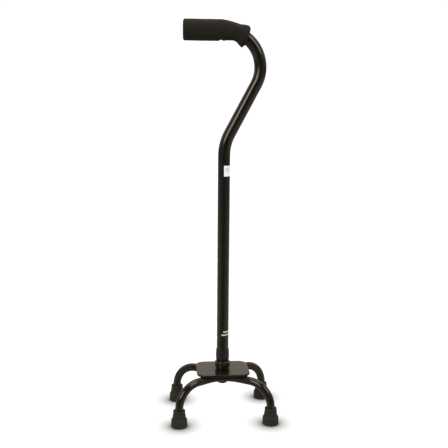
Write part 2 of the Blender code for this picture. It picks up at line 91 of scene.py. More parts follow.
light = {
    # what the gloss sees, by the way it faces: towards the front, 45 and 90 degrees off it, and behind
    "round": (0.17, 0.52, 0.72, 0.60),
    "aboveBehind": 0.80,
    "aboveFront": 0.10,
    "below": 0.38,
    "horizon": 0.34,           # share of the light left at eye level, where the studio floor is far away
    # where each change starts and ends: the cosine from the front, or the direction's height or depth
    "backToSide": (-1.0, 0.0),
    "sideToOff": (0.0, 0.70),
    "offToFront": (0.70, 1.0),
    "downStart": (0.02, 0.30),
    "belowStart": (0.34, 0.62),
    "aboveStart": (-0.02, 0.22),
    "aboveTurn": (-0.5, 0.6),
    "backdrop": 1.1,
    "tint": (1.0, 0.88, 0.72),
    "frontSide": (-0.092, -0.996),
    "floorHalf": (0.60, 0.60),
    "floorShade": 0.35,
    "floorTint": (0.76, 0.87, 1.0),
    "floorGlow": 0.88,
    # painted contact shadow: the floor's glow is darkened near the feet
    "paintedShadowReach": 0.040,     # how far from a foot the floor's own glow is held back, and how sharply
    "paintedShadowPower": 4.6,
}


def setWorld():
    # brightness by direction: four levels round the horizon, others above and below; a plain white backdrop
    world = bpy.data.worlds.new("studio")
    scene.world = world
    world.use_nodes = True
    tree = world.node_tree
    tree.nodes.clear()
    sheet = NodeSheet(tree)
    x, y, z = sheet.split(sheet.node("ShaderNodeTexCoord").outputs["Generated"])
    flat = (x * x + y * y).root() + 0.0001
    facing = (x * light["frontSide"][0] + y * light["frontSide"][1]) / flat      # 1 in front, -1 behind
    front, off, side, back = light["round"]
    level = facing.ramp(*light["backToSide"]) * (side - back) + back
    level = level + facing.ramp(*light["sideToOff"]) * (off - side)
    level = level + facing.ramp(*light["offToFront"]) * (front - off)
    down = (-z).ramp(*light["downStart"])
    level = level * (down * (1 - light["horizon"]) + light["horizon"])
    nadir = (-z).ramp(*light["belowStart"])
    level = level * (1 - nadir) + nadir * light["below"]
    rise = z.ramp(*light["aboveStart"])
    aboveFront, aboveBehind = light["aboveFront"], light["aboveBehind"]
    above = facing.ramp(*light["aboveTurn"]) * (aboveFront - aboveBehind) + aboveBehind
    level = level * (1 - rise) + rise * above
    seen = sheet.signal(sheet.node("ShaderNodeLightPath").outputs["Is Camera Ray"])
    glow = sheet.node("ShaderNodeBackground", inputs={"Color": (*light["tint"], 1), "Strength": level})
    white = sheet.node("ShaderNodeBackground", inputs={"Color": (1, 1, 1, 1), "Strength": light["backdrop"]})
    both = sheet.node("ShaderNodeMixShader", inputs={0: seen, 1: glow.outputs[0], 2: white.outputs[0]})
    sheet.node("ShaderNodeOutputWorld", inputs={"Surface": both.outputs[0]})


softboxColour = (1.0, 0.90, 0.76)
softboxes = {
    # place, what it points at, width and height, power
    "key": ((-1.30, -1.55, 1.45), (0, 0, 0.45), (1.1, 1.2), 25.0),
    "fill": ((1.45, -1.30, 1.85), (0, 0, 0.45), (1.1, 1.3), 18.0),
    "top": ((0.15, 0.30, 2.40), (0, 0, 0.30), (1.6, 1.6), 17.0),
}


def softLight(name, place, target, size, power):
    data = bpy.data.lights.new(name, "AREA")
    data.shape, data.size, data.size_y = "RECTANGLE", size[0], size[1]
    data.energy, data.color = power, softboxColour
    item = bpy.data.objects.new(name, data)
    item.location = place
    item.rotation_euler = (Vector(target) - Vector(place)).to_track_quat("-Z", "Y").to_euler()
    scene.collection.objects.link(item)


def setFloor():
    # it catches the lamps' shadows under the feet, and a painted contact shadow darkens its glow round each
    # foot; the gloss and the foam see the world's own floor instead
    x, y = light["floorHalf"]
    mesh = bpy.data.meshes.new("floor")
    mesh.from_pydata([(-x, -y, 0), (x, -y, 0), (x, y, 0), (-x, y, 0)], [], [(0, 1, 2, 3)])
    item = bpy.data.objects.new("floor", mesh)
    scene.collection.objects.link(item)
    item.visible_diffuse = item.visible_glossy = False
    shade = light["floorShade"]
    made = Finish("floor white", {"Roughness": 0.9, "Specular IOR Level": 0.0,
                                  "Emission Strength": light["floorGlow"]})
    paper = made.noise(0.6, 2.0)
    tint = [shade * share for share in light["floorTint"]]
    made.feed("Base Color", made.mix(paper, (*tint, 1), (*[c * 0.985 for c in tint], 1)))
    # painted contact shadow: the glow fades to black where the feet are close by
    clear = made.signal(made.node("ShaderNodeAmbientOcclusion", {"samples": 16},
                                 {"Distance": light["paintedShadowReach"]}).outputs["AO"])
    made.feed("Emission Color", made.mix(clear ** light["paintedShadowPower"], (0.0, 0.0, 0.0, 1), (1, 1, 1, 1)))
    mesh.materials.append(made.material)


# ---- node maths

class Signal:
    # a number socket; sums and products written with it add Math nodes
    def __init__(self, sheet, socket):
        self.sheet, self.socket = sheet, socket

    def __add__(self, other):
        return self.sheet.maths("ADD", self, other)

    __radd__ = __add__

    def __mul__(self, other):
        return self.sheet.maths("MULTIPLY", self, other)

    __rmul__ = __mul__

    def __sub__(self, other):
        return self.sheet.maths("SUBTRACT", self, other)

    def __rsub__(self, other):
        return self.sheet.maths("SUBTRACT", other, self)

    def __truediv__(self, other):
        return self.sheet.maths("DIVIDE", self, other)

    def __pow__(self, other):
        return self.sheet.maths("POWER", self, other)

    def __neg__(self):
        return self * -1

    def __abs__(self):
        return self.sheet.maths("ABSOLUTE", self)

    def over(self, limit):
        return self.sheet.maths("GREATER_THAN", self, limit)

    def under(self, limit):
        return self.sheet.maths("LESS_THAN", self, limit)

    def root(self):
        return self.sheet.maths("SQRT", self)

    def limited(self):
        return self.sheet.maths("MINIMUM", self.sheet.maths("MAXIMUM", self, 0), 1)

    def smooth(self):
        return self * self * (3 - self * 2)

    def ramp(self, start, end):
        # 0 at start, 1 at end, smooth between
        return ((self - start) / (end - start)).limited().smooth()


class NodeSheet:
    def __init__(self, tree):
        self.tree = tree

    def node(self, kind, settings=None, inputs=None):
        made = self.tree.nodes.new(kind)
        for name, value in (settings or {}).items():
            setattr(made, name, value)
        for name, value in (inputs or {}).items():
            if isinstance(value, Signal):
                value = value.socket
            if isinstance(value, bpy.types.NodeSocket):
                self.tree.links.new(value, made.inputs[name])
            else:
                made.inputs[name].default_value = value
        return made

    def signal(self, socket):
        return Signal(self, socket)

    def maths(self, operation, *values):
        made = self.node("ShaderNodeMath", {"operation": operation}, dict(enumerate(values)))
        return self.signal(made.outputs[0])

    def split(self, vector):
        parts = self.node("ShaderNodeSeparateXYZ", inputs={0: vector})
        return [self.signal(parts.outputs[i]) for i in range(3)]


class Finish(NodeSheet):
    # a material whose patterns are read from the piece's own place
    def __init__(self, name, fixed):
        self.material = bpy.data.materials.new(name)
        self.material.use_nodes = True
        super().__init__(self.material.node_tree)
        self.shader = self.tree.nodes["Principled BSDF"]
        for socket, value in fixed.items():
            self.shader.inputs[socket].default_value = value
        self.place = self.node("ShaderNodeTexCoord").outputs["Object"]

    def stretched(self, scale):
        moved = self.node("ShaderNodeMapping", inputs={"Vector": self.place, "Scale": scale})
        return moved.outputs[0]

    def noise(self, size, detail=2.0, rough=0.5, place=None):
        # speckles about as large as size, in metres
        made = self.node("ShaderNodeTexNoise", inputs={
            "Vector": place or self.place, "Scale": 1 / size, "Detail": detail, "Roughness": rough})
        return self.signal(made.outputs[0])

    def cells(self, size):
        made = self.node("ShaderNodeTexVoronoi", inputs={"Vector": self.place, "Scale": 1 / size})
        return self.signal(made.outputs["Distance"])

    def mix(self, factor, first, second):
        made = self.node("ShaderNodeMix", {"data_type": "RGBA"}, {0: factor, 6: first, 7: second})
        return made.outputs[2]

    def feed(self, socket, value):
        source = value.socket if isinstance(value, Signal) else value
        self.tree.links.new(source, self.shader.inputs[socket])

    def relief(self, height, depth):
        made = self.node("ShaderNodeBump", inputs={"Height": height, "Distance": depth, "Strength": 1.0})
        self.feed("Normal", made.outputs[0])


paint = {
    "dark": (0.0062, 0.0058, 0.0051),
    "light": (0.0100, 0.0093, 0.0082),
    "dust": (0.075, 0.070, 0.062, 1),
    "metal": (0.42, 0.41, 0.39, 1),
    "ink": (0.92, 0.93, 0.95, 1),
    "peelSize": 0.0016,
    "waveSize": 0.0125,
    "peelDepth": 0.000004,
}


# a lift above 1 paints the same black lighter: painted light standing in for brighter reflections
def glossPaint(name, smoothest, roughest, lift=1.0, wear=None, printed=None):
    made = Finish(name, {"IOR": 1.5})
    cloud = made.noise(0.030, 4.0, 0.6)
    smear = made.noise(0.004, 3.0, 0.6, made.stretched((1, 1, 0.22)))
    speck = made.noise(0.0004, 1.0).ramp(0.72, 0.78) * 0.35
    darkest, lightest = ((*[c * lift for c in paint[tone]], 1) for tone in ("dark", "light"))
    colour = made.mix(cloud, darkest, lightest)
    colour = made.mix(speck, colour, paint["dust"])
    rough = (cloud * 0.55 + smear * 0.45).ramp(0.36, 0.66) * (roughest - smoothest)
    rough = rough + smoothest + speck * 0.4
    if wear:
        worn = wear(made)
        colour = made.mix(worn, colour, paint["metal"])
        made.feed("Metallic", worn)
        rough = rough + worn * 0.12
    if printed:
        ink = printed(made)
        colour = made.mix(ink, colour, paint["ink"])
        rough = rough + ink * 0.25
    made.feed("Base Color", colour)
    made.feed("Roughness", rough)
    peel = made.noise(paint["peelSize"], 2.0)
    made.relief(peel + made.noise(paint["waveSize"], 2.0) * 2.5, paint["peelDepth"])
    return made.material


foamLook = {
    # painted shade: the colour deep in the pores
    "paintedPitShade": (0.0090, 0.0086, 0.0078, 1),
    "skin": (0.0240, 0.0232, 0.0215, 1),
    "poreSize": 0.0007,
    "poreDepth": 0.00012,
    "fuzz": 0.03,
}


def softFoam(name):
    made = Finish(name, {"Roughness": 0.94, "Sheen Weight": foamLook["fuzz"], "Sheen Roughness": 0.6,
                         "Specular IOR Level": 0.25})
    pores = made.cells(foamLook["poreSize"])
    fine = made.noise(0.0004, 3.0, 0.7)
    patch = made.noise(0.020, 4.0, 0.6)
    lift = (pores * 1.3 * 0.65 + fine * 0.35).limited()
    # lighter on the tops between the pores and darker in them, which is painted shade, plus random patches
    tone = (lift * 0.70 + patch.ramp(0.30, 0.72) * 0.30).limited()
    made.feed("Base Color", made.mix(tone, foamLook["paintedPitShade"], foamLook["skin"]))
    made.relief(lift + made.noise(0.003, 3.0) * 0.8, foamLook["poreDepth"])
    return made.material


rubberLook = {
    "dark": (0.0230, 0.0222, 0.0200, 1),
    "light": (0.0430, 0.0415, 0.0380, 1),
    "dust": (0.110, 0.104, 0.094, 1),
    "grainSize": 0.0006,
    "grainDepth": 0.00006,
}


def mouldedRubber(name, treadTop, shoulder):
    made = Finish(name, {"Specular IOR Level": 0.35})
    height = made.split(made.place)[2]
    cloud = made.noise(0.008, 5.0, 0.65)
    grain = made.noise(rubberLook["grainSize"], 2.0)
    scuff = made.noise(0.0016, 4.0, 0.7, made.stretched((1, 1, 2.6))).ramp(0.56, 0.70)
    foot = (1 - height.ramp(0.0, treadTop)) * scuff
    ledge = (1 - abs(height - shoulder).ramp(0.0, 0.0012)) * scuff * 0.6
    colour = made.mix(cloud, rubberLook["dark"], rubberLook["light"])
    made.feed("Base Color", made.mix((foot * 0.55 + ledge * 0.4).limited(), colour, rubberLook["dust"]))
    made.feed("Roughness", cloud * 0.18 + 0.62 + foot * 0.15)
    made.relief(grain + cloud * 1.5, rubberLook["grainDepth"])
    return made.material


plasticLook = {
    "dark": (0.0095, 0.0090, 0.0080),
    "light": (0.0190, 0.0180, 0.0162),
    "grainSize": 0.00035,
    "grainDepth": 0.00003,
}


def mouldedPlastic(name, lift=1.0):
    made = Finish(name, {"IOR": 1.47})
    cloud = made.noise(0.006, 4.0, 0.6)
    grain = made.noise(plasticLook["grainSize"], 2.0)
    rubbed = made.noise(0.0030, 4.0, 0.7, made.stretched((1, 1, 0.4)))
    darkest, lightest = ((*[c * lift for c in plasticLook[tone]], 1) for tone in ("dark", "light"))
    made.feed("Base Color", made.mix(cloud, darkest, lightest))
    made.feed("Roughness", rubbed.ramp(0.35, 0.68) * 0.16 + 0.29)
    made.relief(grain + cloud * 1.2, plasticLook["grainDepth"])
    return made.material


steelLook = {
    "dark": (0.46, 0.45, 0.43, 1),
    "light": (0.66, 0.65, 0.63, 1),
    "streakSize": 0.0009,
    "streakDepth": 0.00001,
}


def brushedSteel(name):
    made = Finish(name, {"Metallic": 1.0})
    streak = made.noise(steelLook["streakSize"], 4.0, 0.6, made.stretched((1, 1, 0.08)))
    cloud = made.noise(0.004, 3.0)
    made.feed("Base Color", made.mix(cloud, steelLook["dark"], steelLook["light"]))
    made.feed("Roughness", streak * 0.22 + 0.18)
    made.relief(streak, steelLook["streakDepth"])
    return made.material


# ---- surfaces

bendStep = math.radians(2.0)
seatGap = 0.0003           # between pieces that are fixed to each other
slideGap = 0.00025         # between pieces that slide


def unit(vector):
    vector = np.asarray(vector, float)
    return vector / np.linalg.norm(vector)


def turned(vector, axis, angles):
    # v cos a + (axis x v) sin a + axis (axis . v) (1 - cos a), for each angle a
    c, s = np.cos(angles)[:, None], np.sin(angles)[:, None]
    return vector * c + np.cross(axis, vector) * s + axis * np.dot(axis, vector) * (1 - c)


class Route:
    # a line of straight runs and arcs; the frame at each station turns with the line and never twists
    def __init__(self, start, heading, side):
        self.place, self.heading, self.side = (np.asarray(v, float) for v in (start, heading, side))
        self.parts = [(self.place[None], self.heading[None], self.side[None])]

    def run(self, distances):
        # place + heading * distance
        distances = np.atleast_1d(distances)
        points = self.place + self.heading * distances[:, None]
        same = np.ones((len(distances), 1))
        self.parts.append((points, self.heading * same, self.side * same))
        self.place = points[-1]

    def bend(self, radius, towards, angle):
        # the place turned about a centre one radius towards the inside of the bend
        towards = unit(towards)
        axis = np.cross(self.heading, towards)
        centre = self.place + towards * radius
        angles = np.linspace(0, angle, max(3, math.ceil(angle / bendStep)) + 1)[1:]
        points = centre + turned(self.place - centre, axis, angles)
        headings, sides = turned(self.heading, axis, angles), turned(self.side, axis, angles)
        self.parts.append((points, headings, sides))
        self.place, self.heading, self.side = points[-1], headings[-1], sides[-1]

    def stations(self):
        points, headings, sides = (np.concatenate(part) for part in zip(*self.parts))
        return points, sides, np.cross(headings, sides)


def around(count):
    return 2 * math.pi * np.arange(count) / count


def pipeGrid(route, radius, columns):
    # centre + radius (cos a * side + sin a * binormal), a row of points at each station
    points, sides, others = route.stations()
    a = around(columns)[None, :, None]
    radius = np.broadcast_to(radius, len(points))[:, None, None]
    return points[:, None] + radius * (np.cos(a) * sides[:, None] + np.sin(a) * others[:, None])


def gridQuads(rows, columns, closeRows=False, closeColumns=True):
    # corners (r, c), (r, c + 1), (r + 1, c + 1), (r + 1, c), where a closed way wraps round
    r = np.arange(rows if closeRows else rows - 1)[:, None]
    c = np.arange(columns if closeColumns else columns - 1)[None, :]
    r2, c2 = (r + 1) % rows, (c + 1) % columns
    corners = (r * columns + c, r * columns + c2, r2 * columns + c2, r2 * columns + c)
    return np.stack(np.broadcast_arrays(*corners), -1)


def roundedLine(corners, steps=5):
    # each corner (r, z, radius) becomes the curve (1-t)^2 a + 2t(1-t) corner + t^2 b between its two sides
    spots = np.array([corner[:2] for corner in corners], float)
    line = []
    for i, corner in enumerate(corners):
        here, cut = spots[i], corner[2] if len(corner) > 2 else 0
        if not cut or i in (0, len(corners) - 1):
            line.append(here[None])
            continue
        back, ahead = unit(spots[i - 1] - here), unit(spots[i + 1] - here)
        t = np.linspace(0, 1, steps + 1)[:, None]
        first, last = here + back * cut, here + ahead * cut
        line.append((1 - t) ** 2 * first + 2 * t * (1 - t) * here + t ** 2 * last)
    return np.concatenate(line)


def turnedGrid(line, sides, shape=None):
    # (r cos a, r sin a, z) for each point of the line and each angle; shape gives r from r, z and a
    a = around(sides)[None, :]
    r, z = line[:, :1], line[:, 1:2]
    r = shape(r, z, a) if shape else r * np.ones_like(a)
    return np.stack([r * np.cos(a), r * np.sin(a), z * np.ones_like(a)], -1)


def makePiece(name, grid, finish, body, nodes, quads=None, closeRows=False, closeColumns=True,
              sharp=38):
    # the grid's points and quads as one mesh, with poles and seams welded; with no body, it gets no parent
    if quads is None:
        quads = gridQuads(*grid.shape[:2], closeRows, closeColumns).reshape(-1, 4)
    mesh = bpy.data.meshes.new(name)
    mesh.from_pydata(grid.reshape(-1, 3).tolist(), [], quads.tolist())
    bm = bmesh.new()
    bm.from_mesh(mesh)
    bmesh.ops.remove_doubles(bm, verts=bm.verts, dist=1e-6)
    bm.to_mesh(mesh)
    bm.free()
    mesh.shade_smooth()
    mesh.set_sharp_from_angle(angle=math.radians(sharp))
    mesh.materials.append(finish)
    piece = bpy.data.objects.new(name, mesh)
    scene.collection.objects.link(piece)
    if body:
        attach(piece, body)
    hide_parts(*nodes)
    return piece


def refinish(node, finish):
    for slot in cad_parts[node].material_slots:
        slot.material = finish


# ---- drilled tubes

tubeColumns = 64
windowSpan = 10            # quads on each side of the square patch round a hole


def drilledTube(route, outer, bore, holeRows, holeRadius, holeEdge):
    # outer wall up the route and bore back down it as one closed grid, a round hole let into each window
    shell = pipeGrid(route, outer, tubeColumns)
    inside = pipeGrid(route, bore, tubeColumns)[::-1]
    grid = np.concatenate([shell, inside])
    rows = len(grid)
    quads = gridQuads(rows, tubeColumns, closeRows=True)
    keep = np.ones(quads.shape[:2], bool)
    left = tubeColumns // 2 - windowSpan // 2
    points, faces = [grid.reshape(-1, 3)], []
    count = rows * tubeColumns
    step = np.arange(windowSpan)
    for row in holeRows:
        keep[row:row + windowSpan, left:left + windowSpan] = False
        keep[rows - 1 - row - windowSpan:rows - 1 - row, left:left + windowSpan] = False
        flat, full = 0 * step, windowSpan + 0 * step
        rimRows = row + np.concatenate([flat, step, full, windowSpan - step])
        rimColumns = left + np.concatenate([step, full, windowSpan - step, flat])
        outerRim = rimRows * tubeColumns + rimColumns
        innerRim = (rows - 1 - rimRows) * tubeColumns + rimColumns
        rings = holeRings(points[0][outerRim], points[0][innerRim], outer, bore, holeRadius, holeEdge)
        added = rings.shape[0] * rings.shape[1]
        between = count + np.arange(added).reshape(rings.shape[:2])
        indices = np.concatenate([outerRim[None], between, innerRim[None]])
        points.append(rings.reshape(-1, 3))
        count += added
        after = np.roll(indices, -1, axis=1)
        faces.append(np.stack([indices[:-1], after[:-1], after[1:], indices[1:]], -1).reshape(-1, 4))
    return np.concatenate(points), np.concatenate([quads[keep], *faces])


def holeRings(outerRim, innerRim, outer, bore, radius, edge):
    # the square rim slides to a circle across the hole, and x = -sqrt(R^2 - y^2) keeps it on the wall
    centre = (outerRim[:, 2].min() + outerRim[:, 2].max()) / 2
    angle = np.arctan2(outerRim[:, 2] - centre, outerRim[:, 1])
    circle = np.stack([np.cos(angle), np.sin(angle)], -1)

    def ring(rim, share, size, wall, sunk):
        flat = np.stack([rim[:, 1], rim[:, 2] - centre], -1) * (1 - share) + circle * size * share
        x = -np.sqrt(wall ** 2 - flat[:, 0] ** 2) + sunk
        return np.stack([x, flat[:, 0], flat[:, 1] + centre], -1)

    rings = [ring(outerRim, share, radius + edge, outer, 0) for share in (0.35, 0.7, 1)]
    for q in np.radians((30, 60, 90)):
        rings.append(ring(outerRim, 1, radius + edge * (1 - math.sin(q)), outer, edge * (1 - math.cos(q))))
    rings += [ring(innerRim, share, radius, bore, 0) for share in (1, 0.7, 0.35)]
    return np.stack(rings)


stem = {
    "wall": 0.0012,
    "hookRadius": 0.0645,
    "slantDegrees": 28.0,
    "lowerBend": 0.085,
    "holeDiameter": 0.0065,
    "holePitch": 0.0254,
    "holeCount": 9,
    "holeEdge": 0.00028,
    # height, and first and last degrees round the stem, of two plain printed bars
    "bars": ((0.1620, -90.0, 14.0), (0.1560, -107.0, 8.0)),
    "barHalfHeight": 0.0014,
}
stemRadius = high("handle_tube")[1]
stemBottom = low("handle_tube")[2]
gripHeight = high("handle_tube")[2] - stemRadius
buttonHeight = (low("snap_button")[2] + high("snap_button")[2]) / 2
holeHeights = buttonHeight - stem["holePitch"] * np.arange(stem["holeCount"])[::-1]


def stemRoute():
    slant = math.radians(stem["slantDegrees"])
    hook, lower = stem["hookRadius"], stem["lowerBend"]
    slantRun = (hook * math.cos(slant) - lower * (1 - math.cos(slant))) / math.sin(slant)
    upright = (gripHeight - hook - hook * math.sin(slant) - slantRun * math.cos(slant)
               - lower * math.sin(slant) - stemBottom)
    halfWindow = stemRadius * math.sin(windowSpan / 2 * 2 * math.pi / tubeColumns)
    spread = np.linspace(-halfWindow, halfWindow, windowSpan + 1)
    gaps = np.array([-0.0127, -0.0090, 0.0090])
    heights = (holeHeights[:, None] - stemBottom + np.concatenate([gaps[:2], spread, gaps[2:]])).ravel()
    tail = np.linspace(heights[-1] + 0.006, upright, 14)
    rows = np.concatenate([[0.012, 0.020], heights, tail])
    route = Route((0, 0, stemBottom), (0, 0, 1), (1, 0, 0))
    route.run(rows)
    perHole = windowSpan + 1 + len(gaps)
    windows = 3 + 2 + perHole * np.arange(stem["holeCount"])
    route.bend(lower, (1, 0, 0), slant)
    route.run(np.linspace(0, slantRun, 9)[1:])
    route.bend(hook, (-math.cos(slant), 0, math.sin(slant)), math.pi / 2 + slant)
    route.run(np.linspace(0, -low("handle_tube")[0], 8)[1:])
    return route, windows


def paintedBars(made):
    # 1 within half a bar's height of either bar, between two angles round the stem, its edge slightly ragged
    x, y, z = made.split(made.place)
    turn = made.maths("ARCTAN2", y, x) * (180 / math.pi)
    ragged = (made.noise(0.0007, 3.0, 0.7) - 0.5) * 0.0009
    half, ink = stem["barHalfHeight"], 0
    for height, start, end in stem["bars"]:
        inside = 1 - (abs(z - height) + ragged).ramp(half - 0.0002, half + 0.0002)
        ink = ink + inside * turn.over(start) * turn.under(end)
    return ink


def holeWear(made):
    # distance from the nearest hole's rim, from y and from z folded by the pitch
    x, y, z = made.split(made.place)
    pitch = stem["holePitch"]
    folded = z - float(holeHeights[0]) + pitch / 2
    folded = made.maths("FLOORED_MODULO", folded, pitch) - pitch / 2
    away = (folded * folded + y * y).root() - stem["holeDiameter"] / 2
    chip = made.noise(0.0010, 4.0, 0.7).ramp(0.52, 0.60)
    inRow = z.over(float(holeHeights[0]) - pitch / 2) * z.under(float(holeHeights[-1]) + pitch / 2)
    return (1 - away.ramp(0.00005, 0.00055)) * chip * inRow * x.under(0) * abs(y).under(0.0045)


setCamera()
setWorld()
setFloor()
for name, box in softboxes.items():
    softLight(name, *box)
print("camera, floor and light set")

route, windows = stemRoute()
points, quads = drilledTube(route, stemRadius, stemRadius - stem["wall"], windows,
                            stem["holeDiameter"] / 2, stem["holeEdge"])
stemFinish = glossPaint("stem gloss black", 0.15, 0.25, 1.0, holeWear, paintedBars)
makePiece("stemTube", points, stemFinish, "handle", ["handle_tube"], quads)
print("stem tube:", len(quads), "quads")

lowerTube = {"wall": 0.0012, "holeDiameter": 0.0063}
lowerRadius = (high("lower_tube")[1] - low("lower_tube")[1]) / 2
lowerBottom, lowerTop = low("lower_tube")[2], high("lower_tube")[2]
halfWindow = lowerRadius * math.sin(windowSpan / 2 * 2 * math.pi / tubeColumns)
heights = np.concatenate([np.linspace(lowerBottom, buttonHeight - 0.010, 12)[1:],
                          buttonHeight + np.linspace(-halfWindow, halfWindow, windowSpan + 1),
                          [buttonHeight + 0.010, lowerTop]]) - lowerBottom
route = Route((0, 0, lowerBottom), (0, 0, 1), (1, 0, 0))
route.run(heights)
points, quads = drilledTube(route, lowerRadius, lowerRadius - lowerTube["wall"], [12],
                            lowerTube["holeDiameter"] / 2, 0.0002)
lowerFinish = glossPaint("lower tube gloss black", 0.15, 0.25)
makePiece("lowerTube", points, lowerFinish, "base", ["lower_tube"], quads)
print("lower tube done")

legs = {
    "diameter": 0.0150,
    "wall": 0.0012,
    "bendRadius": 0.043,
    "bowRadius": 0.052,
    "columns": 40,
}


def legRoute(sign):
    # foot, bend to level, run, bow past the stem, run, bend and foot again; sign -1 is the front pair
    node = "front_leg_tube" if sign < 0 else "rear_leg_tube"
    lowest, highest = low(node), high(node)
    half = legs["diameter"] / 2
    reach = highest[0] - half
    footY = (lowest[1] + half) if sign < 0 else (highest[1] - half)
    offset = abs((highest[1] - half) if sign < 0 else (lowest[1] + half))
    axisHeight = highest[2] - half
    bow, bend = legs["bowRadius"], legs["bendRadius"]
    inset = bow - (abs(footY) - offset)
    splay = math.atan2(reach, inset) - math.acos(bow / math.hypot(reach, inset))
    run = (reach - bow * math.sin(splay)) / math.cos(splay) - bend
    drop = axisHeight - bend - lowest[2]
    inward = np.array([math.cos(splay), -sign * math.sin(splay), 0])
    route = Route((-reach, footY, lowest[2]), (0, 0, 1), (0, 1, 0))
    route.run(np.linspace(0, drop, 5)[1:])
    route.bend(bend, inward, math.pi / 2)
    route.run(np.linspace(0, run, 7)[1:])
    route.bend(bow, (math.sin(splay), sign * math.cos(splay), 0), 2 * splay)
    route.run(np.linspace(0, run, 7)[1:])
    route.bend(bend, (0, 0, -1), math.pi / 2)
    route.run(np.linspace(0, drop, 5)[1:])
    return route


# painted light: the legs' paint is lightened 1.6 times to stand in for their brighter reflections
legFinish = glossPaint("leg gloss black", 0.11, 0.19, 1.6)
for sign, node, name in ((-1, "front_leg_tube", "frontLeg"), (1, "rear_leg_tube", "rearLeg")):
    route = legRoute(sign)
    radius = legs["diameter"] / 2
    grid = np.concatenate([pipeGrid(route, radius, legs["columns"]),
                           pipeGrid(route, radius - legs["wall"], legs["columns"])[::-1]])
    makePiece(name, grid, legFinish, "base", [node], closeRows=True)
print("legs done")

plate = {
    "cornerRadius": 0.017,
    "edgeRadius": 0.0012,
    "cornerSteps": 16,
    "sideSteps": 14,
    "faceShares": (0, 0.3, 0.6, 0.85, 1),
    "edgeDegrees": (0, 18, 36, 54, 72),
}


def plateOutline():
    # quarter circles at the four corners joined by straight sides, with the way out at each point
    lowest, highest = low("base_plate"), high("base_plate")
    r = plate["cornerRadius"]
    spots, outs = [], []
    for number in range(4):
        a = math.pi / 2 * (number + np.linspace(0, 1, plate["cornerSteps"] + 1))
        sx, sy = ((1, 1), (-1, 1), (-1, -1), (1, -1))[number]
        corner = np.array([(highest[0] - r) * sx, (highest[1] - r) * sy])
        out = np.stack([np.cos(a), np.sin(a)], -1)
        spots.append(corner + r * out)
        outs.append(out)
        nextX, nextY = ((-1, 1), (-1, -1), (1, -1), (1, 1))[number]
        ahead = np.array([(highest[0] - r) * nextX, (highest[1] - r) * nextY]) + r * out[-1]
        t = np.linspace(0, 1, plate["sideSteps"] + 1)[1:-1, None]
        spots.append(spots[-1][-1] * (1 - t) + ahead * t)
        outs.append(out[-1] * np.ones_like(t))
    return np.concatenate(spots), np.concatenate(outs), lowest[2], highest[2]


def plateGrid():
    # rows: underside out from the bore, rounded edge, top and back to the bore; a face row lies between the
    # bore's circle and the rim by its share, and an edge row a quarter circle's cos and sin from the rim
    spots, outs, bottom, top = plateOutline()
    angle = np.arctan2(spots[:, 1], spots[:, 0])
    bore = (lowerRadius + seatGap) * np.stack([np.cos(angle), np.sin(angle)], -1)
    edge = plate["edgeRadius"]
    rim = spots - outs * edge

    def level(flat, z):
        return np.column_stack([flat, np.full(len(flat), z)])

    def face(share, z):
        return level(bore * (1 - share) + rim * share, z)

    def rounded(degrees, z):
        q = math.radians(degrees)
        return level(rim + outs * edge * math.cos(q), z + edge * math.sin(q))

    rows = [face(share, bottom) for share in plate["faceShares"]]
    rows += [rounded(-degrees, bottom + edge) for degrees in plate["edgeDegrees"][::-1]]
    rows += [rounded(degrees, top - edge) for degrees in plate["edgeDegrees"]]
    rows += [face(share, top) for share in plate["faceShares"][::-1]]
    return np.stack(rows)


plateFinish = glossPaint("plate gloss black", 0.15, 0.27)
makePiece("basePlate", plateGrid(), plateFinish, "base", ["base_plate"], closeRows=True)
print("base plate done")

boss = {
    "rimHeight": 0.0122,
    "rimOut": 0.0014,
    "rimRadius": 0.0010,
    "edgeRadius": 0.0034,
    "footRadius": 0.0006,
}
bossLow, bossHigh = low("socket_boss"), high("socket_boss")
bossRadius = bossHigh[0]
bossBore = lowerRadius + seatGap
bossFoot, bossStep = bossRadius - boss["rimOut"], bossHigh[2] - boss["rimHeight"]
line = roundedLine([
    (bossBore, bossLow[2]), (bossFoot, bossLow[2], boss["footRadius"]), (bossFoot, bossStep, 0.0003),
    (bossRadius, bossStep, boss["rimRadius"]), (bossRadius, bossHigh[2], boss["edgeRadius"]),
    (bossBore, bossHigh[2], 0.0006), (bossBore, bossLow[2])], 8)
# painted light: the boss's paint is lightened 1.6 times, like the legs'
bossFinish = glossPaint("boss gloss black", 0.10, 0.18, 1.6)
makePiece("socketBoss", turnedGrid(line, 96), bossFinish, "base", ["socket_boss"])

plug = {"edge": 0.0026, "headHeight": 0.0042}
plugLow, plugHigh = low("lower_tube_plug"), high("lower_tube_plug")
plugShank = lowerRadius - lowerTube["wall"] - seatGap
plugStep = plugLow[2] + plug["headHeight"]
line = roundedLine([
    (0, plugLow[2]), (lowerRadius, plugLow[2], plug["edge"]), (lowerRadius, plugStep, 0.0003),
    (plugShank, plugStep), (plugShank, plugHigh[2], 0.0005), (0, plugHigh[2])], 8)
plasticFinish = mouldedPlastic("black plastic")
makePiece("lowerTubePlug", turnedGrid(line, 64), plasticFinish, "base", ["lower_tube_plug"])
print("boss and plug done")

collar = {
    "endWall": 0.0007,          # beyond the stem, at its two ends
    "lowerTaper": 0.0034,
    "upperTaper": 0.0080,
    "lip": 0.0016,
    "flutes": 12,
    "fluteDepth": 0.00035,
    "fluteSharpness": 6,
}
collarLow, collarHigh = low("lock_collar"), high("lock_collar")
collarRadius = collarHigh[1]
collarEnd = stemRadius + collar["endWall"]


def fluted(r, z, a):
    # the wide part of the collar sinks by depth * ((1 + cos n a) / 2)^k, fading out over the two tapers
    start, end = collarLow[2] + 0.0022, collarHigh[2] - collar["upperTaper"] * 0.55
    fade = np.clip((z - start) / 0.0015, 0, 1) * np.clip((end - z) / 0.0015, 0, 1)
    fade = fade * fade * (3 - 2 * fade) * (r > collarEnd)
    groove = ((1 + np.cos(collar["flutes"] * a)) / 2) ** collar["fluteSharpness"]
    return r - fade * collar["fluteDepth"] * groove


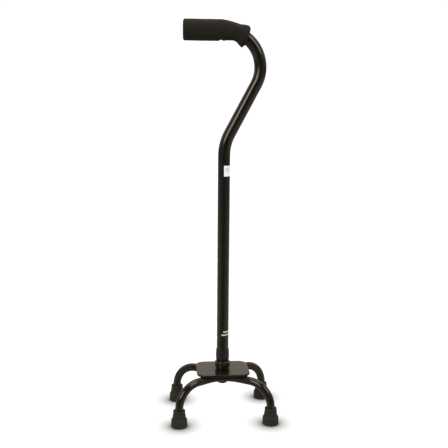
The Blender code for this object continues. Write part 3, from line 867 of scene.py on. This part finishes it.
bush = {"flange": 0.0015, "neckWall": 0.0005}
bushLow, bushHigh = low("collar_bush"), high("collar_bush")
bushBore = lowerRadius + slideGap
bushNeck = bushBore + bush["neckWall"]
collarInner = stemRadius + seatGap
lipRadius = bushNeck + seatGap
zLow, zHigh = collarLow[2], collarHigh[2]
shoulder = np.linspace(zLow + collar["lowerTaper"] + 0.0006, zHigh - collar["upperTaper"] - 0.0006, 12)
line = np.concatenate([
    roundedLine([(lipRadius, zLow), (collarEnd, zLow, 0.0005),
                 (collarRadius, zLow + collar["lowerTaper"], 0.0010), (collarRadius, shoulder[0])]),
    np.column_stack([np.full(10, collarRadius), shoulder[1:-1]]),
    roundedLine([(collarRadius, shoulder[-1]), (collarRadius, zHigh - collar["upperTaper"], 0.0010),
                 (collarEnd, zHigh, 0.0005), (collarInner, zHigh, 0.0002),
                 (collarInner, zLow + collar["lip"]), (lipRadius, zLow + collar["lip"]),
                 (lipRadius, zLow)]),
])
makePiece("lockCollar", turnedGrid(line, 288, fluted), mouldedPlastic("collar plastic", 1.15), "collar",
          ["lock_collar"])

flangeBottom = bushHigh[2] - bush["flange"]
line = roundedLine([
    (bushBore, bushLow[2]), (bushNeck, bushLow[2], 0.0002), (bushNeck, flangeBottom),
    (bushHigh[1], flangeBottom), (bushHigh[1], bushHigh[2]), (bushBore, bushHigh[2]), (bushBore, bushLow[2])])
makePiece("collarBush", turnedGrid(line, 64), plasticFinish, "handle", ["collar_bush"])
print("collar and bush done")

button = {"footRadius": 0.0040, "footThickness": 0.0008, "radius": 0.00285, "dome": 0.0014}
buttonLow, buttonHigh = low("snap_button"), high("snap_button")
foot, radius, dome = button["footRadius"], button["radius"], button["dome"]
shoulder = buttonHigh[0] - buttonLow[0] - dome
q = np.radians(np.linspace(0, 90, 9))
line = np.concatenate([
    roundedLine([(0, 0), (foot, 0, 0.0002), (foot, button["footThickness"], 0.0002),
                 (radius, button["footThickness"]), (radius, shoulder)], 4),
    np.column_stack([radius * np.cos(q), shoulder + dome * np.sin(q)])[1:],
])
grid = turnedGrid(line, 48)
grid = np.stack([buttonHigh[0] - grid[..., 2], grid[..., 1], grid[..., 0] + buttonHeight], -1)
steelFinish = brushedSteel("bright steel")
makePiece("snapButton", grid, steelFinish, "button", ["snap_button"])

spring = {"thickness": 0.0006, "width": 0.0060, "turnRadius": 0.0022, "padHalf": 0.0040}


def springLine():
    # middle of the leaf, x and z: down the front arm, round the turn and up the back arm
    lowest, highest = low("snap_spring"), high("snap_spring")
    half, turn = spring["thickness"] / 2, spring["turnRadius"]
    front, back, knee = lowest[0] + half, highest[0] - half, buttonHeight - spring["padHalf"]
    bottom = lowest[2] + half + turn
    a = np.linspace(0, math.pi, 25)
    t = np.linspace(0, 1, 16)[:, None]

    def straight(here, there):
        return (1 - t) * np.array(here) + t * np.array(there)

    return np.concatenate([
        straight((front, highest[2]), (front, knee)), straight((front, knee), (-turn, bottom))[1:-1],
        np.column_stack([-turn * np.cos(a), bottom - turn * np.sin(a)]),
        straight((turn, bottom), (back, knee))[1:-1], straight((back, knee), (back, highest[2]))])


def springGrid():
    # a flat strip's section, corners eased, square to the line at each point; each end closes to its middle
    line = springLine()
    ahead = np.gradient(line, axis=0)
    ahead /= np.linalg.norm(ahead, axis=1, keepdims=True)
    quarter = np.array([(1, 0.92), (1, -0.92), (0.6, -1), (-0.6, -1)])
    section = np.concatenate([quarter, -quarter]) * (spring["thickness"] / 2, spring["width"] / 2)
    off = section[None, :, :1] * np.stack([-ahead[:, 1], ahead[:, 0]], -1)[:, None]
    side = np.broadcast_to(section[None, :, 1], off.shape[:2])
    grid = np.stack([line[:, None, 0] + off[..., 0], side, line[:, None, 1] + off[..., 1]], -1)
    first, last = (grid[i].mean(0) * np.ones((1, len(section), 1)) for i in (0, -1))
    return np.concatenate([first, grid, last])


leaf = makePiece("snapSpring", springGrid(), steelFinish, None, ["snap_spring"])
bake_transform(leaf)
print("button and spring done")

tips = {
    "stepHeight": 0.0145,
    "stepIn": 0.0024,
    "rimRadius": 0.0112,
    "rimHeight": 0.0024,
    "floor": 0.0070,
    "edge": 0.0020,
    "treadRings": 4,
    "treadDepth": 0.0009,
}
tipFinish = mouldedRubber("tip rubber", 0.010, tips["stepHeight"])


def tipLine():
    # sole with ring grooves (depth times -2 cos of the ring's turn, kept from 0 to 1), rounded foot, base,
    # step, tapering sleeve, rim and blind bore
    lowest, highest = low("rubber_tip_front_left"), high("rubber_tip_front_left")
    radius = (highest[0] - lowest[0]) / 2
    top, bore = highest[2], legs["diameter"] / 2 + seatGap
    r = np.linspace(0, radius - tips["edge"] - 0.0006, 49)
    groove = np.clip(-np.cos(r / r[-1] * 2 * math.pi * tips["treadRings"]) * 2, 0, 1)
    sole = np.column_stack([r, tips["treadDepth"] * groove])
    rim, step, edge = tips["rimRadius"], tips["stepHeight"], tips["edge"]
    rimBottom = top - tips["rimHeight"]
    rest = roundedLine([
        (radius - edge, 0), (radius, 0, edge), (radius, 2 * edge), (radius - 0.0006, step, 0.0007),
        (radius - tips["stepIn"], step + 0.0006, 0.0004),
        (rim - 0.0002, rimBottom - 0.0004, 0.0003), (rim, rimBottom, 0.0002),
        (rim, top, 0.0007), (bore, top, 0.0003), (bore, tips["floor"]), (0, tips["floor"])])
    return np.concatenate([sole, rest])


line = tipLine()
for corner in ("front_left", "front_right", "rear_left", "rear_right"):
    node = f"rubber_tip_{corner}"
    centre = (low(node) + high(node)) / 2 * (1, 1, 0)
    first, second = corner.split("_")
    name = f"{first}{second.title()}Tip"
    makePiece(name, turnedGrid(line, 72) + centre, tipFinish, "base", [node])
    refinish(f"tip_washer_{corner}", steelFinish)
refinish("handle_end_plug", plasticFinish)
print("tips and hidden pieces done")

grip = {
    "radius": 0.0190,
    "cornerRadius": 0.0038,
    "endWall": 0.0060,
    "columns": 144,
    # middle x, middle height from the tube's axis, half height and tilt in degrees of each ring
    "rings": (
        (-0.0720, 0, 0.0190, 0), (-0.0095, 0, 0.0190, 0), (0.0015, 0.0001, 0.0180, -1.5),
        (0.0095, -0.0008, 0.0170, 1.5), (0.0167, -0.0020, 0.0160, 5.0), (0.0221, -0.0041, 0.0165, 5.0),
        (0.0268, -0.0079, 0.0189, 1.0), (0.0343, -0.0100, 0.0203, 12.2), (0.0384, -0.0101, 0.0187, 16.4),
        (0.0401, -0.0109, 0.0164, 18.9)),
    # x, height, direction in degrees, half length, half width and depth of each fold line on the sides
    "folds": (
        (-0.0115, -0.0100, 40, 0.0055, 0.0007, 0.00045), (-0.0085, -0.0075, 32, 0.0050, 0.0006, 0.00035),
        (-0.0030, -0.0110, -38, 0.0045, 0.0006, 0.00035), (-0.0150, -0.0130, 25, 0.0040, 0.0006, 0.00025),
        (0.0149, -0.0020, 80, 0.0020, 0.0018, 0.00050), (0.0208, -0.0034, 70, 0.0022, 0.0016, 0.00045),
        (0.0318, 0.0026, 4, 0.0055, 0.0006, 0.00050), (0.0100, 0.0040, 20, 0.0060, 0.0010, 0.00020)),
    # x, half width and depth of the pinch underneath, and the same of the swellings before and after it
    "notch": (-0.0072, 0.0040, 0.0020),
    "swellings": ((-0.0027, 0.0028, 0.0005), (-0.0122, 0.0032, 0.0005)),
}


def easedCurve(knots, values, u):
    # cubic pieces through the knots whose slopes never overshoot (harmonic mean of the two sides' slopes)
    steps = np.diff(knots)
    rates = np.diff(values) / steps
    same = rates[1:] * rates[:-1] > 0
    safe = np.where(same, rates[1:] + rates[:-1], 1)
    inner = np.where(same, 2 * rates[1:] * rates[:-1] / safe, 0)
    slopes = np.concatenate([rates[:1], inner, rates[-1:]])
    i = np.clip(np.searchsorted(knots, u) - 1, 0, len(steps) - 1)
    t = (u - knots[i]) / steps[i]
    return ((1 + 2 * t) * (1 - t) ** 2 * values[i] + t * (1 - t) ** 2 * steps[i] * slopes[i]
            + t ** 2 * (3 - 2 * t) * values[i + 1] - t ** 2 * (1 - t) * steps[i] * slopes[i + 1])


def gripGrid():
    # rows: end disc, rounded corner, sleeve, flare, end face, then back along the bore to a disc inside
    a = around(grip["columns"])
    radius, corner = grip["radius"], grip["cornerRadius"]
    left = low("foam_grip")[0]
    q = np.radians(np.linspace(0, 90, 9))
    startX = np.concatenate([np.full(6, left), left + corner * (1 - np.cos(q))[1:]])
    startHalf = np.concatenate([np.linspace(0, radius - corner, 6), radius - corner * (1 - np.sin(q))[1:]])
    rings = np.array(grip["rings"], float)
    knots = np.concatenate([[0], np.cumsum(np.hypot(*np.diff(rings[:, :2], axis=0).T))])
    knots[-1] += 0.0009
    u = np.concatenate([np.linspace(0, knots[1], 60, endpoint=False),
                        np.linspace(knots[1], knots[-1], 120)])
    x, height, half, tilt = (easedCurve(knots, rings[:, i], u) for i in range(4))
    x = np.concatenate([startX, x[1:]])
    height = np.concatenate([0 * startX, height[1:]])
    half = np.concatenate([startHalf, half[1:]])
    tilt = np.radians(np.concatenate([0 * startX, tilt[1:]]))
    middle = np.stack([x, 0 * x, height], -1)
    rise = half[:, None] * np.stack([np.sin(tilt), 0 * x, np.cos(tilt)], -1)
    width = np.minimum(half, radius)[:, None] * np.array([0, -1, 0])
    # middle + rise cos a + width sin a
    cosines, sines = np.cos(a)[None, :, None], np.sin(a)[None, :, None]
    outer = middle[:, None] + rise[:, None] * cosines + width[:, None] * sines
    outer = pressFolds(outer, middle, a)
    # the bore meets the end face where (hook + r cos a) sin(turn - tilt) is the face's distance from it
    hook, bore = stem["hookRadius"], stemRadius + seatGap
    faceTilt = tilt[-1]
    offset = x[-1] * math.cos(faceTilt) - (height[-1] + hook) * math.sin(faceTilt)

    def boreRing(share):
        turn = (faceTilt + np.arcsin(offset / (hook + bore * np.cos(a)))) * share
        out = hook + bore * np.cos(a)
        return np.stack([out * np.sin(turn), -bore * np.sin(a), out * np.cos(turn) - hook], -1)

    mouth = boreRing(1.0)
    face = [outer[-1] * (1 - t) + mouth * t for t in (0.12, 0.35, 0.65, 0.9, 1.0)]
    dish = np.array([math.cos(faceTilt), 0, -math.sin(faceTilt)])
    face = [row + dish * push for row, push in zip(face, (0.0006, 0.0008, 0.0004, 0.0001, -0.0004))]
    back = [boreRing(share) for share in np.linspace(0.96, 0, 16)]
    endX = left + grip["endWall"]
    flat = [back[-1] + np.array([endX * t, 0, 0]) for t in np.linspace(0, 1, 6)[1:]]
    closing = [flat[-1] * (1, t, t) for t in (0.5, 0.0)]
    grid = np.concatenate([outer, face, back, flat, closing])
    return grid + np.array([0, 0, gripHeight])


def pressFolds(points, middle, a):
    # each fold sinks the skin by depth * exp(-(across / width)^2 - (along / length)^2)
    x, height = points[..., 0], points[..., 2]
    sink = np.zeros_like(x)
    for foldX, foldHeight, degrees, length, width, depth in grip["folds"]:
        turn = math.radians(degrees)
        along = (x - foldX) * math.cos(turn) + (height - foldHeight) * math.sin(turn)
        across = (height - foldHeight) * math.cos(turn) - (x - foldX) * math.sin(turn)
        sink += depth * np.exp(-(across / width) ** 2 - (along / length) ** 2)
    notchX, notchWidth, notchDepth = grip["notch"]
    under = np.exp(-((a - math.pi) / 0.75) ** 2)[None, :]
    sink += under * notchDepth * np.exp(-((x - notchX) / notchWidth) ** 2)
    for swellX, swellWidth, swellHeight in grip["swellings"]:
        sink -= under * swellHeight * np.exp(-((x - swellX) / swellWidth) ** 2)
    wave = np.sin(x * 310 + 2.1 * np.sin(a)[None, :]) * np.cos(2 * a + 40 * x) * 0.00010
    wave = wave + np.sin(x * 120 + 3 * a) * 0.00008
    body = np.clip((x + 0.072) / 0.006, 0, 1) * (points[..., 0] < 0.036)
    inward = middle[:, None] - points
    size = np.linalg.norm(inward, axis=-1, keepdims=True)
    size = np.where(size < 1e-6, 1, size)
    return points + inward / size * (sink + wave * body)[..., None] * np.clip(size / 0.012, 0, 1)


foamFinish = softFoam("grip foam")
foamPiece = makePiece("gripFoam", gripGrid(), foamFinish, "handle", ["foam_grip"], sharp=70)
print("grip done")

label = {
    "start": -95.0,             # degrees round the stem
    "sweep": 140.0,
    "gap": 0.00015,
    "thickness": 0.0002,
    "lift": 0.0005,             # how far the free edge has curled off the stem, and over how much of the turn
    "liftDegrees": 16.0,
    "ringTurn": -61.5,
    "ringHeight": 0.0118,
    "ringRadius": 0.0034,
    "ringWidth": 0.0012,
    "barDrop": 0.0075,
    "film": (0.93, 0.94, 0.96, 1),
    "soil": (0.74, 0.73, 0.70, 1),
    "disc": (0.36, 0.52, 0.86, 1),
    "ink": (0.20, 0.36, 0.70, 1),
    # painted light: the film glows bluish white though it is no lamp
    "glow": (0.66, 0.82, 1.0, 1),
    "paintedGlowStrength": 0.42,
    "fibreDepth": 0.00001,
}
labelLow, labelHigh = low("label"), high("label")


def labelGrid():
    # rows go round the film's four edges, columns round the stem, each end closed to its middle;
    # the first few degrees lift off it
    turn = np.radians(label["start"] + label["sweep"] * np.linspace(0, 1, 71))
    turn = np.concatenate([turn[:1], turn, turn[-1:]])
    curl = label["lift"] * np.clip(1 - (turn - turn[0]) / math.radians(label["liftDegrees"]), 0, 1) ** 2
    near, half = stemRadius + label["gap"] + curl, label["thickness"] / 2
    bottom, top = labelLow[2], labelHigh[2]
    outline = [(-half, bottom)] + [(half, z) for z in np.linspace(bottom, top, 9)] + [(-half, top)]
    out, height = (np.array(part)[:, None] for part in zip(*outline))
    closed = np.ones(len(turn))
    closed[[0, -1]] = 0
    r = near + half + out * closed
    z = (bottom + top) / 2 * (1 - closed) + height * closed
    return np.stack([r * np.cos(turn), r * np.sin(turn), z], -1)


def labelFinish():
    # white film with a ring, a tinted disc inside it and one faint bar below; its faint bluish glow is
    # painted light that keeps it bright white
    made = Finish("label film", {"IOR": 1.45, "Emission Color": label["glow"],
                                 "Emission Strength": label["paintedGlowStrength"]})
    x, y, z = made.split(made.place)
    arc = made.maths("ARCTAN2", y, x) * stemRadius
    across = arc - math.radians(label["ringTurn"]) * stemRadius
    up = z - float(labelLow[2] + label["ringHeight"])
    away = (across * across + up * up).root() - label["ringRadius"]
    half = label["ringWidth"] / 2
    ring = 1 - abs(away).ramp(half - 0.0001, half + 0.0001)
    disc = away.under(0)
    bar = 1 - abs(up + label["barDrop"]).ramp(0.00025, 0.0004)
    bar = bar * (1 - abs(across).ramp(0.0050, 0.0052)) * 0.35
    fibre = made.noise(0.0008, 4.0, 0.7)
    soil = made.noise(0.005, 4.0).ramp(0.45, 0.75) * 0.10
    colour = made.mix(soil, label["film"], label["soil"])
    colour = made.mix(disc * 0.70, colour, label["disc"])
    colour = made.mix((ring + bar).limited(), colour, label["ink"])
    made.feed("Base Color", colour)
    made.feed("Roughness", fibre * 0.15 + 0.32)
    made.relief(fibre, label["fibreDepth"])
    return made.material


makePiece("stemLabel", labelGrid(), labelFinish(), "handle", ["label"], closeRows=True,
          closeColumns=False)
print("label done")

scene.view_settings.view_transform = "Standard"
